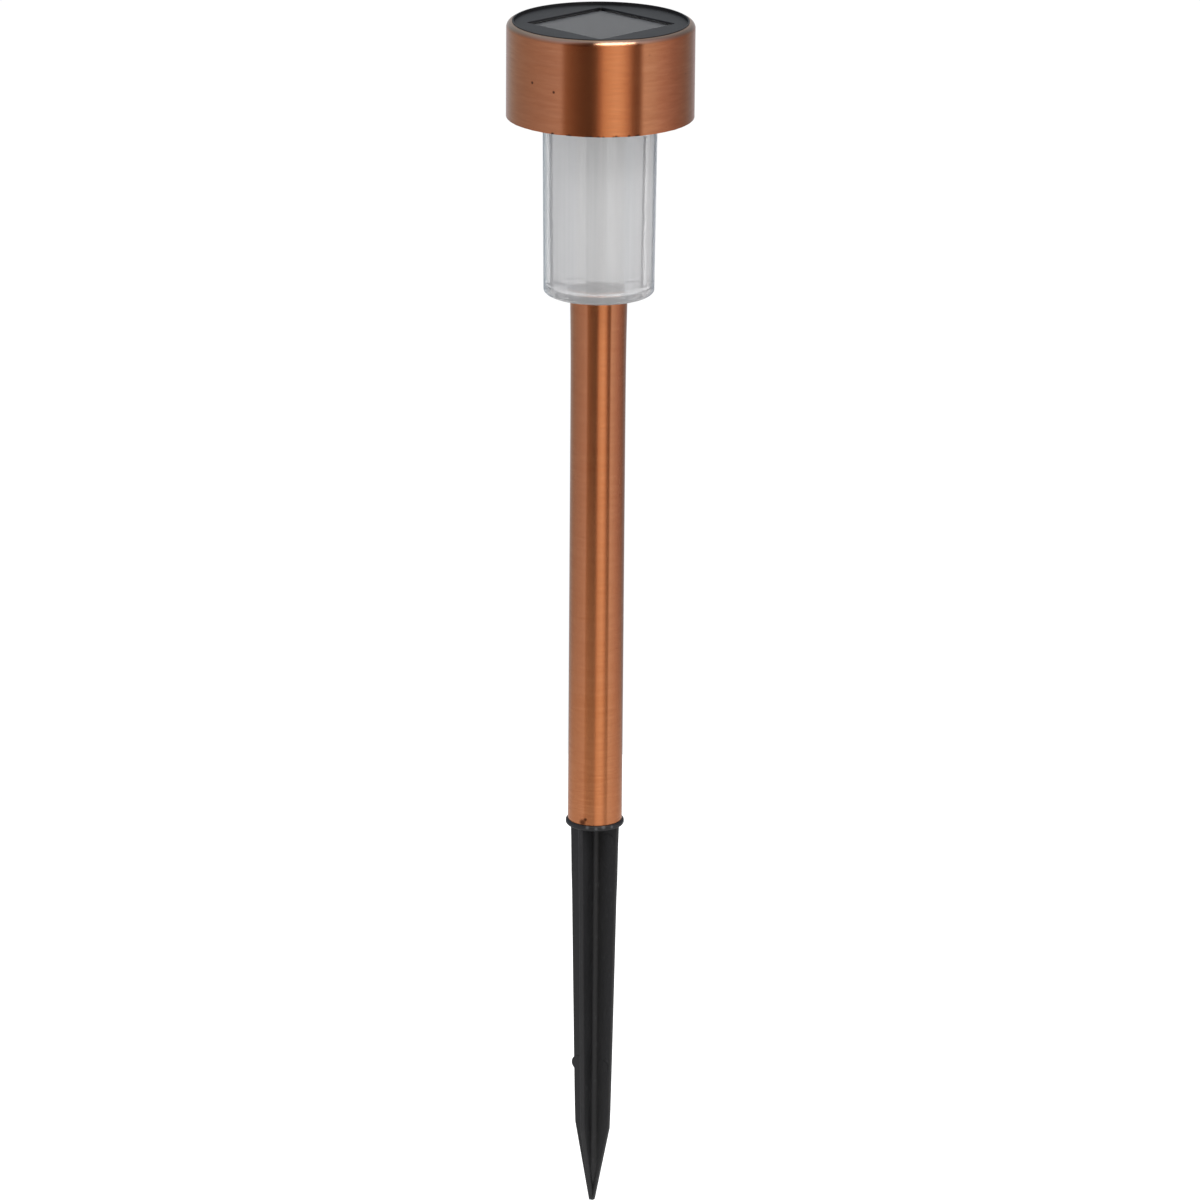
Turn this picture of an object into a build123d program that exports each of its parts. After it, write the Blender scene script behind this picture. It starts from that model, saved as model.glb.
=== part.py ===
from build123d import *
import os
from math import cos, hypot, radians, sin

# A solar path light on a garden stake, in millimetres.
# +Z is up. The origin is on the axis at the ground line, which is the underside
# of the stake's flange. The front of the light faces -Y.

# ---- driving dimensions -------------------------------------------------
FLANGE_RADIUS = 8.6
FLANGE_THICKNESS = 1.6
STAKE_DEPTH = 120.0
STAKE_TURN = -32.0  # the stake's fins are pushed home at any angle to the head
FIN_THICKNESS = 1.4
FIN_ROOT_RADIUS = 1.3
FIN_EDGE_ROUND = 0.3
PAD_PROUD = 0.12
EJECTOR_PADS = ((5.35, -4.5, 2.0), (-5.35, -4.5, 2.0), (3.85, -76.2, 1.9), (-4.7, -76.9, 2.3))
PLUG_HEIGHT = 18.0

POLE_RADIUS = 8.0
POLE_WALL = 0.5
POLE_LENGTH = 160.0
POLE_FLARE = 0.3  # the tube's top end is belled out by this much
POLE_FLARE_LENGTH = 30.0

LENS_HEIGHT = 52.4  # from the pole's top to the cap's lower edge
LENS_FOOT_RADIUS = 16.0
LENS_MOUTH_RADIUS = 16.5
LENS_FOOT_ROUND = (3.0, 1.5)  # half axes of the quarter ellipse round the foot
LENS_FLOOR = 2.0
LENS_WALL = 1.8
FLUTE_COUNT = 16
FLUTE_TURN = 7.5
SPIGOT_LENGTH = 12.0
SPIGOT_BORE_RADIUS = 5.7

CAP_RADIUS = 27.0
CAP_HEIGHT = 27.7
SHEET = 0.5  # thickness of the cap's steel
SHOULDER = 1.75  # radius of the cap's rounded top edge, which ends at the plate's opening
PLATE_DROP = SHEET + 0.05  # the black top plate lies under the edge of the steel
LIP_WIDTH = 0.3  # thin lip of the plate that stands up inside the steel's cut edge
LIP_LAP = 0.1  # its top laps over that edge by this much

CELL_TURN = 45.0  # the square panel stands on its corner, seen from the front
CELL_SIDE = 29.0
PANEL_SIDE = 29.8
PANEL_RECESS = 0.6

FIT = 0.08  # radial clearance of the push fits
GAP = 0.1  # clearance between pieces that only lie side by side

# ---- levels, worked out from the above ----------------------------------
POLE_BOTTOM = FLANGE_THICKNESS
POLE_TOP = POLE_BOTTOM + POLE_LENGTH
CAP_BOTTOM = POLE_TOP + LENS_HEIGHT
CAP_TOP = CAP_BOTTOM + CAP_HEIGHT
PLATE_TOP = CAP_TOP - PLATE_DROP

POLE_BORE_RADIUS = POLE_RADIUS - POLE_WALL
CAP_BORE_RADIUS = CAP_RADIUS - SHEET

BASE_BOTTOM = CAP_BOTTOM + 6.0  # the head's base plate, up inside the cap's skirt
BASE_THICKNESS = 1.6
BASE_TOP = BASE_BOTTOM + BASE_THICKNESS
BASE_RADIUS = CAP_BORE_RADIUS - 0.4

NECK_RADIUS = 15.8  # the lens is stepped in above this level to take its seal
NECK_BOTTOM = CAP_BOTTOM + 0.8
SEAL_HEIGHT = 2.5
SEAL_RADIUS = 17.0
COLLAR_RADIUS = SEAL_RADIUS + FIT
COLLAR_WALL = 1.5
COLLAR_BOTTOM = CAP_BOTTOM + 0.4

HOUSING_WALL = 1.2
HOUSING_RADIUS = CAP_BORE_RADIUS - 0.2
HOUSING_SHOULDER = CAP_TOP - 2.0
HOUSING_CEILING = PLATE_TOP - 4.35
PANEL_FLOOR = PLATE_TOP - 2.75

BATTERY_RADIUS = 5.25
BATTERY_LENGTH = 28.5
BATTERY_Y = 11.6
BATTERY_Z = BASE_TOP + 6.0
NUB_RADIUS = 2.0
NUB_LENGTH = 1.5

BOARD_BOTTOM = BASE_TOP + 4.0
BOARD_THICKNESS = 1.2
BOARD_TOP = BOARD_BOTTOM + BOARD_THICKNESS
BOARD_X = 22.0
BOARD_Y = 18.0
BOARD_CENTRE_Y = -5.6
BOARD_POSTS = ((-8.6, -12.2), (8.6, -12.2))

LED_RADIUS = 2.5
LED_SHOULDER_RADIUS = 2.9
SWITCH_X = 21.4
SWITCH_TRAVEL = 2.0
SCREW_CIRCLE = 21.5
SCREW_ANGLES = (90.0, 210.0, 330.0)
WIRE_RADIUS = 0.55


def turned(*points):
    """A solid of revolution about Z from (radius, height) points, closed."""
    outline = make_face(Polyline(*[(r, 0, z) for r, z in points], close=True))
    return revolve(outline, Axis.Z)


def disc(radius, low, high):
    """A round disc or pin on the Z axis between two levels."""
    return Pos(0, 0, low) * Cylinder(radius, high - low, align=(Align.CENTER, Align.CENTER, Align.MIN))


def ring(outer, inner, low, high):
    """A plain ring on the Z axis."""
    return disc(outer, low, high) - disc(inner, low - 1, high + 1)


def block(x, y, low, high, at_x=0.0, at_y=0.0):
    """A rectangular block centred in X and Y, between two levels."""
    return Pos(at_x, at_y, low) * Box(x, y, high - low, align=(Align.CENTER, Align.CENTER, Align.MIN))


def on_circle(radius, degrees):
    """The X and Y of a point on a circle about Z."""
    return radius * cos(radians(degrees)), radius * sin(radians(degrees))


# ---- stake ---------------------------------------------------------------
def stake_blade(fin_edges):
    """One flat blade, two fins wide, with rounded long edges. fin_edges are (reach, level) points."""
    outline = Polyline(*fin_edges, *[(-reach, level) for reach, level in reversed(fin_edges)], close=True)
    blade = Rot(90, 0, 0) * extrude(make_face(outline), amount=FIN_THICKNESS / 2, both=True)
    long_edges = [
        edge
        for edge in blade.edges()
        if abs(abs(edge.center().Y) - FIN_THICKNESS / 2) < 0.01 and abs(edge.center().X) > 0.1
    ]
    return fillet(long_edges, FIN_EDGE_ROUND)


def ground_stake():
    """Moulded cross-section spike, flange at the ground line and a hollow plug for the pole."""
    fin_edges = (
        (8.15, 0), (7.95, -5.5), (7.72, -17.0), (7.5, -23.0), (6.95, -50.0), (6.45, -73.0), (6.05, -90.0),
        (5.82, -96.0), (0.75, -STAKE_DEPTH),
    )
    blade = stake_blade(fin_edges)
    stake = blade + Rot(0, 0, 90) * blade
    root = FIN_THICKNESS / 2 + FIN_ROOT_RADIUS
    web = Rectangle(2 * root, 2 * root)
    for x in (-root, root):
        for y in (-root, root):
            web -= Pos(x, y) * Circle(FIN_ROOT_RADIUS)
    core = extrude(web, amount=STAKE_DEPTH - 4.0, dir=(0, 0, -1))
    core &= turned((0, 0), (root + 1, 0), (root + 1, -104.0), (0.6, -STAKE_DEPTH + 3.0), (0, -STAKE_DEPTH + 3.0))
    stake += core
    # Round pads where the ejector pins pushed, a little proud of both faces.
    for reach, level, pad_radius in EJECTOR_PADS:
        pad = Rot(90, 0, 0) * Cylinder(pad_radius, FIN_THICKNESS + 2 * PAD_PROUD)
        stake += Pos(reach, 0, level) * pad
    stake = Rot(0, 0, STAKE_TURN) * stake
    flange = disc(FLANGE_RADIUS, 0, FLANGE_THICKNESS)
    flange = fillet(flange.edges().filter_by(GeomType.CIRCLE), 0.55)
    plug_radius = POLE_BORE_RADIUS - FIT
    plug_top = FLANGE_THICKNESS + PLUG_HEIGHT
    plug = turned(
        (0, FLANGE_THICKNESS - 0.5), (plug_radius, FLANGE_THICKNESS - 0.5), (plug_radius, plug_top - 1.5),
        (plug_radius - 0.6, plug_top), (5.6, plug_top), (5.6, FLANGE_THICKNESS + 2.0),
        (0, FLANGE_THICKNESS + 2.0),
    )
    return stake + flange + plug


# ---- pole ----------------------------------------------------------------
def pole_tube():
    """Thin welded steel tube, belled out a little at its top end for the lens."""
    flare_start = POLE_TOP - POLE_FLARE_LENGTH
    top_radius = POLE_RADIUS + POLE_FLARE
    return turned(
        (POLE_RADIUS, POLE_BOTTOM), (POLE_RADIUS, flare_start), (top_radius, POLE_TOP),
        (top_radius - POLE_WALL, POLE_TOP), (POLE_BORE_RADIUS, flare_start), (POLE_BORE_RADIUS, POLE_BOTTOM),
    )


# ---- lens ----------------------------------------------------------------
def flute_section(corner_radius, level):
    """The many-sided inner outline of the lens at one level."""
    outline = RegularPolygon(corner_radius, FLUTE_COUNT, rotation=FLUTE_TURN)
    return Pos(0, 0, level) * outline


def lens():
    """Clear cup with flat flutes inside, a stepped neck above and a hollow spigot below."""
    floor_top = POLE_TOP + LENS_FLOOR
    across, up = LENS_FOOT_ROUND
    with BuildPart() as cup:
        with BuildSketch(Plane.XZ):
            with BuildLine():
                Line((0, POLE_TOP), (LENS_FOOT_RADIUS - across, POLE_TOP))
                EllipticalCenterArc((LENS_FOOT_RADIUS - across, POLE_TOP + up), across, up, 270, arc_size=90)
                Polyline(
                    (LENS_FOOT_RADIUS, POLE_TOP + up), (LENS_MOUTH_RADIUS, NECK_BOTTOM), (NECK_RADIUS, NECK_BOTTOM),
                    (NECK_RADIUS, BASE_BOTTOM), (0, BASE_BOTTOM), (0, POLE_TOP),
                )
            make_face()
        revolve(axis=Axis.Z)
    body = cup.part
    foot_inside = LENS_FOOT_RADIUS - LENS_WALL
    mouth_inside = NECK_RADIUS - 1.0
    cavity = loft(
        [
            flute_section(foot_inside - 2.0, floor_top),
            flute_section(foot_inside - 0.2, floor_top + 2.6),
            flute_section(mouth_inside, BASE_BOTTOM + 1.0),
        ],
        ruled=True,
    )
    spigot_top = POLE_BORE_RADIUS + POLE_FLARE - FIT
    spigot_foot = spigot_top - POLE_FLARE * SPIGOT_LENGTH / POLE_FLARE_LENGTH
    spigot = turned(
        (SPIGOT_BORE_RADIUS - 0.5, POLE_TOP + 0.5), (spigot_top, POLE_TOP + 0.5), (spigot_top, POLE_TOP),
        (spigot_foot, POLE_TOP - SPIGOT_LENGTH + 0.8), (spigot_foot - 0.6, POLE_TOP - SPIGOT_LENGTH),
        (SPIGOT_BORE_RADIUS - 0.5, POLE_TOP - SPIGOT_LENGTH),
    )
    bore = disc(SPIGOT_BORE_RADIUS, POLE_TOP - SPIGOT_LENGTH - 1, floor_top + 1)
    return body - cavity + spigot - bore


def lens_seal():
    """Rubber band round the lens neck, which grips the head's collar."""
    return ring(SEAL_RADIUS, NECK_RADIUS + 0.05, NECK_BOTTOM, NECK_BOTTOM + SEAL_HEIGHT)


# ---- head: outside -------------------------------------------------------
def cap_shell():
    """Drum drawn from thin steel sheet, its top edge rounded over and ending at the plate."""
    turn_radius = CAP_RADIUS - SHOULDER
    turn_level = CAP_TOP - SHOULDER
    with BuildPart() as shell:
        with BuildSketch(Plane.XZ):
            with BuildLine():
                Line((CAP_BORE_RADIUS, CAP_BOTTOM), (CAP_RADIUS, CAP_BOTTOM))
                Line((CAP_RADIUS, CAP_BOTTOM), (CAP_RADIUS, turn_level))
                CenterArc((turn_radius, turn_level), SHOULDER, 0, 90)
                Line((turn_radius, CAP_TOP), (turn_radius, CAP_TOP - SHEET))
                CenterArc((turn_radius, turn_level), SHOULDER - SHEET, 90, -90)
                Line((CAP_BORE_RADIUS, turn_level), (CAP_BORE_RADIUS, CAP_BOTTOM))
            make_face()
        revolve(axis=Axis.Z)
    return shell.part


def square_pad(side, corner, low, high):
    """A square block with rounded corners, turned to the panel's angle."""
    outline = RectangleRounded(side, side, corner)
    return Rot(0, 0, CELL_TURN) * (Pos(0, 0, low) * extrude(outline, amount=high - low))


def head_housing():
    """Black moulding: the top plate with the panel's pocket, a skirt and three screw posts."""
    opening_radius = CAP_RADIUS - SHOULDER
    lip_radius = opening_radius - 0.04
    lip_bore = lip_radius - LIP_WIDTH
    body = disc(opening_radius + 0.15, HOUSING_CEILING, PLATE_TOP)
    body += disc(HOUSING_RADIUS, BASE_TOP, HOUSING_SHOULDER)
    body += ring(lip_radius, lip_bore, PLATE_TOP - 0.5, CAP_TOP + 0.1)
    body += ring(opening_radius + LIP_LAP, lip_bore, CAP_TOP + 0.02, CAP_TOP + 0.2)
    body -= disc(HOUSING_RADIUS - HOUSING_WALL, BASE_TOP - 1, HOUSING_CEILING)
    body -= square_pad(PANEL_SIDE + 2 * GAP, 0.6, PANEL_FLOOR, PLATE_TOP + 1)
    pocket_rim = [
        edge
        for edge in body.edges()
        if abs(edge.center().Z - PLATE_TOP) < 0.01 and hypot(edge.center().X, edge.center().Y) < 0.75 * PANEL_SIDE
    ]
    body = fillet(pocket_rim, 0.2)
    for degrees in SCREW_ANGLES:
        x, y = on_circle(SCREW_CIRCLE, degrees)
        post = Pos(x, y, 0) * disc(2.7, BASE_TOP, HOUSING_CEILING + 0.5)
        body += post
        body -= Pos(x, y, 0) * disc(1.1, BASE_TOP - 1, BASE_TOP + 8.0)
    for x in (-5.0, 5.0):
        body -= Pos(x, -9.0, 0) * disc(0.8, HOUSING_CEILING - 1, PANEL_FLOOR + 1)
    return body


def cell_board():
    """Backing board of the solar panel."""
    return square_pad(PANEL_SIDE, 0.5, PANEL_FLOOR, PANEL_FLOOR + 1.0)


def solar_cell():
    """Thin silicon wafer on the backing board."""
    return Rot(0, 0, CELL_TURN) * block(CELL_SIDE, CELL_SIDE, PANEL_FLOOR + 1.0, PANEL_FLOOR + 1.3)


def cell_cover():
    """Clear resin poured over the wafer, level with the pocket's sight line."""
    cover = square_pad(PANEL_SIDE, 0.5, PANEL_FLOOR + 1.0, PLATE_TOP - PANEL_RECESS)
    return cover - square_pad(CELL_SIDE + 0.04, 0.05, PANEL_FLOOR, PANEL_FLOOR + 1.32)


# ---- head: base plate and what it carries --------------------------------
def base_plate():
    """Black moulding that closes the head, with the lens collar, battery cradle and board posts."""
    body = disc(BASE_RADIUS, BASE_BOTTOM, BASE_TOP)
    for outer, inner in ((BASE_RADIUS, BASE_RADIUS - 1.2), (COLLAR_RADIUS + COLLAR_WALL, COLLAR_RADIUS)):
        wall = ring(outer, inner, COLLAR_BOTTOM, BASE_BOTTOM + 0.5)
        body += fillet(wall.edges().group_by(Axis.Z)[0], 0.35)
    for degrees in SCREW_ANGLES:
        x, y = on_circle(SCREW_CIRCLE, degrees)
        body -= Pos(x, y, 0) * disc(1.3, BASE_BOTTOM - 1, BASE_TOP + 1)
    body -= disc(LED_RADIUS + GAP, BASE_BOTTOM - 1, BASE_TOP + 1)
    body -= block(2.0, 4.6, BASE_BOTTOM - 1, BASE_TOP + 1, SWITCH_X, 0)
    # Saddles under the battery and end walls behind its contacts.
    for x in (-8.0, 8.0):
        saddle = block(1.5, 9.0, BASE_TOP, BASE_TOP + 3.5, x, BATTERY_Y)
        saddle -= Pos(x, BATTERY_Y, BATTERY_Z) * (Rot(0, 90, 0) * Cylinder(BATTERY_RADIUS + 0.05, 4.0))
        body += saddle
    for side in (-1, 1):
        body += block(1.2, 8.0, BASE_TOP, BASE_TOP + 8.0, side * 17.2, BATTERY_Y)
    for x, y in BOARD_POSTS:
        post = Pos(x, y, 0) * disc(2.2, BASE_TOP, BOARD_BOTTOM)
        body += post - Pos(x, y, 0) * disc(0.8, BASE_TOP + 0.5, BOARD_BOTTOM + 1)
    return body


def base_screws():
    """Three pan-head screws that hold the base plate up to the housing."""
    screws = []
    for degrees in SCREW_ANGLES:
        x, y = on_circle(SCREW_CIRCLE, degrees)
        head = disc(2.3, BASE_BOTTOM - 1.5, BASE_BOTTOM)
        head = fillet(head.edges().sort_by(Axis.Z)[0], 0.7)
        slot = block(0.6, 2.8, BASE_BOTTOM - 1.6, BASE_BOTTOM - 0.8) + block(2.8, 0.6, BASE_BOTTOM - 1.6, BASE_BOTTOM - 0.8)
        screws.append(Pos(x, y, 0) * (head - slot + disc(1.08, BASE_BOTTOM - 0.2, BASE_TOP + 7.5)))
    return Compound(screws)


def battery():
    """Rechargeable cell lying across the back of the head, positive nub to +X."""
    can = Cylinder(BATTERY_RADIUS, BATTERY_LENGTH)
    can = fillet(can.edges().filter_by(GeomType.CIRCLE), 0.5)
    nub = Pos(0, 0, BATTERY_LENGTH / 2) * Cylinder(NUB_RADIUS, NUB_LENGTH, align=(Align.CENTER, Align.CENTER, Align.MIN))
    lying = Rot(0, 90, 0) * (can + nub)
    return Pos(-NUB_LENGTH / 2, BATTERY_Y, BATTERY_Z) * lying


def positive_contact():
    """Plated strip against the battery's nub, with a solder tab towards the board."""
    nub_face = BATTERY_LENGTH / 2 + NUB_LENGTH / 2
    plate = block(0.4, 7.0, BASE_TOP, BATTERY_Z + 2.5, nub_face + 0.2, BATTERY_Y)
    tab = block(0.4, 5.0, BATTERY_Z - 1.5, BATTERY_Z + 0.5, nub_face + 0.2, BATTERY_Y - 5.5)
    return plate + tab


def negative_contact():
    """Bent leaf spring against the battery's flat end, with a solder tab."""
    cell_end = -BATTERY_LENGTH / 2 - NUB_LENGTH / 2
    back = cell_end - 1.5
    plate = block(0.4, 7.0, BASE_TOP, BATTERY_Z + 2.5, back + 0.2, BATTERY_Y)
    with BuildPart() as leaf:
        with BuildSketch(Plane.XZ.offset(-BATTERY_Y - 2.0)):
            with BuildLine():
                Polyline(
                    (back, BATTERY_Z + 2.5), (cell_end, BATTERY_Z + 0.6), (cell_end, BATTERY_Z - 0.6),
                    (back + 0.6, BATTERY_Z - 2.6), (back + 0.6, BATTERY_Z - 2.2), (cell_end - 0.4, BATTERY_Z - 0.4),
                    (cell_end - 0.4, BATTERY_Z + 0.4), (back + 0.3, BATTERY_Z + 2.0), (back, BATTERY_Z + 2.0),
                    close=True,
                )
            make_face()
        extrude(amount=4.0)
    tab = block(0.4, 5.0, BATTERY_Z - 1.5, BATTERY_Z + 0.5, back + 0.2, BATTERY_Y - 5.5)
    return plate + tab + leaf.part


def circuit_board():
    """Small board on two posts in front of the battery."""
    board = block(BOARD_X, BOARD_Y, BOARD_BOTTOM, BOARD_TOP, 0, BOARD_CENTRE_Y)
    for x, y in BOARD_POSTS:
        board -= Pos(x, y, 0) * disc(1.1, BOARD_BOTTOM - 1, BOARD_TOP + 1)
    for x in (-1.27, 1.27):
        board -= Pos(x, 0, 0) * disc(0.4, BOARD_BOTTOM - 1, BOARD_TOP + 1)
    return board


def board_screws():
    """Two small screws that hold the board to its posts."""
    screws = []
    for x, y in BOARD_POSTS:
        head = disc(1.7, BOARD_TOP, BOARD_TOP + 1.1)
        head = fillet(head.edges().sort_by(Axis.Z)[-1], 0.5)
        slot = block(2.2, 0.45, BOARD_TOP + 0.6, BOARD_TOP + 2)
        screws.append(Pos(x, y, 0) * (head - slot + disc(0.78, BASE_TOP + 0.8, BOARD_TOP + 0.2)))
    return Compound(screws)


def driver_chip():
    """Four-legged chip that drives the lamp and charges the battery."""
    body = block(5.0, 1.8, BOARD_TOP + 1.6, BOARD_TOP + 4.8, -3.0, -7.0)
    for step in range(4):
        body += block(0.4, 0.4, BOARD_TOP, BOARD_TOP + 1.7, -3.0 + 1.27 * (step - 1.5), -7.0)
    return body


def inductor():
    """Coil in a lacquered sleeve, lying on the board on its two bent legs."""
    level = BOARD_TOP + 1.5
    body = Pos(4.0, -3.4, level) * (Rot(0, 90, 0) * Cylinder(1.3, 5.4))
    body = fillet(body.edges().filter_by(GeomType.CIRCLE), 0.5)
    for side in (-1, 1):
        leg_x = 4.0 + side * 3.4
        body += Pos(4.0 + side * 3.0, -3.4, level) * (Rot(0, 90, 0) * Cylinder(0.25, 1.3))
        body += Pos(leg_x, -3.4, 0) * disc(0.25, BOARD_TOP, level + 0.25)
    return body


def led():
    """Clear five-millimetre lamp pointing down into the lens."""
    shoulder_top = BASE_TOP + 1.0
    dome_level = BASE_BOTTOM - 2.6
    body = disc(LED_SHOULDER_RADIUS, BASE_TOP, shoulder_top) + disc(LED_RADIUS, dome_level, BASE_TOP + 0.5)
    body += Pos(0, 0, dome_level) * Sphere(LED_RADIUS)
    for x in (-1.27, 1.27):
        body -= Pos(x, 0, 0) * disc(0.26, BASE_BOTTOM, shoulder_top + 1)
    return body


def led_legs():
    """The lamp's two legs, up through the board."""
    return Compound([Pos(x, 0, 0) * disc(0.25, BASE_BOTTOM, BOARD_TOP + 0.6) for x in (-1.27, 1.27)])


def switch_body():
    """Case of the slide switch, standing on the base plate over its window."""
    body = block(4.0, 8.6, BASE_TOP, BASE_TOP + 3.6, SWITCH_X, 0)
    return body - block(2.9, 5.9, BASE_TOP - 1, BASE_TOP + 1.6, SWITCH_X, 0)


def switch_slider():
    """The switch's slider, its knob reaching down through the window, shown at off."""
    off = -SWITCH_TRAVEL / 2
    foot = block(2.7, 3.6, BASE_TOP + 0.1, BASE_TOP + 1.5, SWITCH_X, off)
    knob = block(1.7, 2.2, BASE_BOTTOM - 1.4, BASE_TOP + 0.5, SWITCH_X, off)
    return foot + knob


def switch_pins():
    """Three plated pins on the back of the switch."""
    pins = [block(0.5, 0.8, BASE_TOP + 3.6, BASE_TOP + 5.4, SWITCH_X, 2.5 * step) for step in (-1, 0, 1)]
    return Compound(pins)


def wire(*corners):
    """An insulated wire along straight runs joined by tangent arcs."""
    path = FilletPolyline(*corners, radius=1.6)
    section = Plane(origin=path @ 0, z_dir=path % 0) * Circle(WIRE_RADIUS)
    return sweep(section, path=path)


def solar_wire(x):
    """Wire from the panel down to the board."""
    side = 1 if x > 0 else -1
    return wire(
        (x, -9.0, PANEL_FLOOR), (x, -9.0, PANEL_FLOOR - 5.2),
        (x + side * 3.6, -9.0, PANEL_FLOOR - 7.4), (x + side * 3.6, -9.0, BOARD_TOP),
    )


def battery_wire(side):
    """Wire from a battery contact's tab, up over and down to the board."""
    contact_x = side * 15.0 if side > 0 else -16.5
    tab_x = contact_x + 0.2
    return wire(
        (tab_x, BATTERY_Y - 7.2, BATTERY_Z + 0.5), (tab_x, BATTERY_Y - 7.2, BATTERY_Z + 5.4),
        (side * 9.6, 1.0, BATTERY_Z + 5.4), (side * 9.6, 1.0, BOARD_TOP),
    )


def switch_wires():
    """Two wires from the switch pins to the board's edge."""
    pairs = ((-2.5, -5.6), (0.0, -2.2))
    top = BASE_TOP + 5.4
    return Compound([
        wire((SWITCH_X, pin_y, top), (SWITCH_X, pin_y, top + 4.0), (9.9, board_y, top + 4.0), (9.9, board_y, BOARD_TOP))
        for pin_y, board_y in pairs
    ])


PIECES = {
    "ground_stake": ground_stake(),
    "pole_tube": pole_tube(),
    "lens": lens(),
    "lens_seal": lens_seal(),
    "cap_shell": cap_shell(),
    "head_housing": head_housing(),
    "cell_board": cell_board(),
    "solar_cell": solar_cell(),
    "cell_cover": cell_cover(),
    "base_plate": base_plate(),
    "base_screws": base_screws(),
    "battery": battery(),
    "positive_contact": positive_contact(),
    "negative_contact": negative_contact(),
    "circuit_board": circuit_board(),
    "board_screws": board_screws(),
    "driver_chip": driver_chip(),
    "inductor": inductor(),
    "led": led(),
    "led_legs": led_legs(),
    "switch_body": switch_body(),
    "switch_slider": switch_slider(),
    "switch_pins": switch_pins(),
    "solar_wire_red": solar_wire(5.0),
    "solar_wire_black": solar_wire(-5.0),
    "battery_wire_red": battery_wire(1),
    "battery_wire_black": battery_wire(-1),
    "switch_wires": switch_wires(),
}

os.makedirs("parts", exist_ok=True)
for name, piece in PIECES.items():
    export_step(piece, f"parts/{name}.step")
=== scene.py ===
import bpy
import numpy as np
from math import cos, pi, radians, sin
from mathutils import Matrix, Vector


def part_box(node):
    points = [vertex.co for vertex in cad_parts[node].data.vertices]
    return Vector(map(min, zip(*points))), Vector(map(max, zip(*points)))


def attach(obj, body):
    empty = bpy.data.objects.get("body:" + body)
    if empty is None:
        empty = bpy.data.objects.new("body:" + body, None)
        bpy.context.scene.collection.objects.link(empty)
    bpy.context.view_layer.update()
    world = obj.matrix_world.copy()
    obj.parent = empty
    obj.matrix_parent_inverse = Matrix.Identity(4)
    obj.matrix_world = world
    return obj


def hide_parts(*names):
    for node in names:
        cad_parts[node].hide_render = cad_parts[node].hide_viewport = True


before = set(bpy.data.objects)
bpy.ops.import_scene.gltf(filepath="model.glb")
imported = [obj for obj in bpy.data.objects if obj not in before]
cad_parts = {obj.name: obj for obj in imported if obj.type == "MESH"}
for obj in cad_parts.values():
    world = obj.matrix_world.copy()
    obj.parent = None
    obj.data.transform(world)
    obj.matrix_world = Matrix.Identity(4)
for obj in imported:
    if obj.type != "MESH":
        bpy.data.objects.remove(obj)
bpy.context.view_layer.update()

# ---------------------------------------------------------------------------
# Room: white paper under and behind the light, soft panels all round it, and
# one oval soft panel overhead. The panels round it are colours of the world by
# bearing and height; the one overhead is an area light.
# ---------------------------------------------------------------------------
CAMERA_DISTANCE = 1.862
CAMERA_HEIGHT = 0.651
CAMERA_PITCH = 0.303
CAMERA_ROLL = radians(0.45)
CAMERA_ASIDE = 0.00103
SENSOR_WIDTH = 36.0
FOCAL_LENGTH = 200.0

camera_data = bpy.data.cameras.new("studio_camera")
camera_data.sensor_width = SENSOR_WIDTH
camera_data.lens = FOCAL_LENGTH
camera_data.clip_start = 0.01
camera_data.clip_end = 50.0
camera = bpy.data.objects.new("studio_camera", camera_data)
camera.location = (CAMERA_ASIDE, -CAMERA_DISTANCE, CAMERA_HEIGHT)
aimed = Matrix.Rotation(pi / 2 - CAMERA_PITCH, 3, "X") @ Matrix.Rotation(CAMERA_ROLL, 3, "Z")
camera.rotation_euler = aimed.to_euler()
bpy.context.scene.collection.objects.link(camera)
bpy.context.scene.camera = camera

bpy.context.scene.view_settings.view_transform = "Standard"


def new_node(tree, kind, **settings):
    """Adds a shader node and sets its plain properties and its inputs by name."""
    node = tree.nodes.new(kind)
    for key, value in settings.items():
        if hasattr(node, key):
            setattr(node, key, value)
        else:
            node.inputs[key.replace("_", " ")].default_value = value
    return node


def math_node(tree, operation, first, second=None, third=None):
    """A Math node; numbers are set on it and sockets are linked to it. Gives its output."""
    node = tree.nodes.new("ShaderNodeMath")
    node.operation = operation
    for socket, value in zip(node.inputs, (first, second, third)):
        if value is None:
            continue
        if isinstance(value, (int, float)):
            socket.default_value = value
        else:
            tree.links.new(value, socket)
    return node.outputs[0]


def ramp_node(tree, value, stops):
    """A Color Ramp on value; stops are (position, grey or colour) pairs. Gives its colour output."""
    node = tree.nodes.new("ShaderNodeValToRGB")
    points = node.color_ramp.elements
    while len(points) < len(stops):
        points.new(1.0)
    for point, (position, colour) in zip(points, stops):
        if isinstance(colour, (int, float)):
            colour = (colour, colour, colour)
        point.position = position
        point.color = (*colour, 1.0)
    tree.links.new(value, node.inputs[0])
    return node.outputs[0]


world = bpy.data.worlds.new("studio")
world.use_nodes = True
bpy.context.scene.world = world
sky = world.node_tree
sky.nodes.clear()

# bearing goes from 0 to 1 over a full turn, with 0.5 towards the camera. height goes from 0 straight down to
# 1 straight up, with 0.5 level.
direction = new_node(sky, "ShaderNodeSeparateXYZ")
sky.links.new(sky.nodes.new("ShaderNodeTexCoord").outputs["Generated"], direction.inputs[0])
toward_camera = math_node(sky, "MULTIPLY", direction.outputs["Y"], -1.0)
bearing = math_node(sky, "ARCTAN2", direction.outputs["X"], toward_camera)
bearing = math_node(sky, "MULTIPLY_ADD", bearing, 1 / (2 * pi), 0.5)
height = math_node(sky, "MULTIPLY_ADD", math_node(sky, "ARCSINE", direction.outputs["Z"]), 1 / pi, 0.5)


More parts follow.
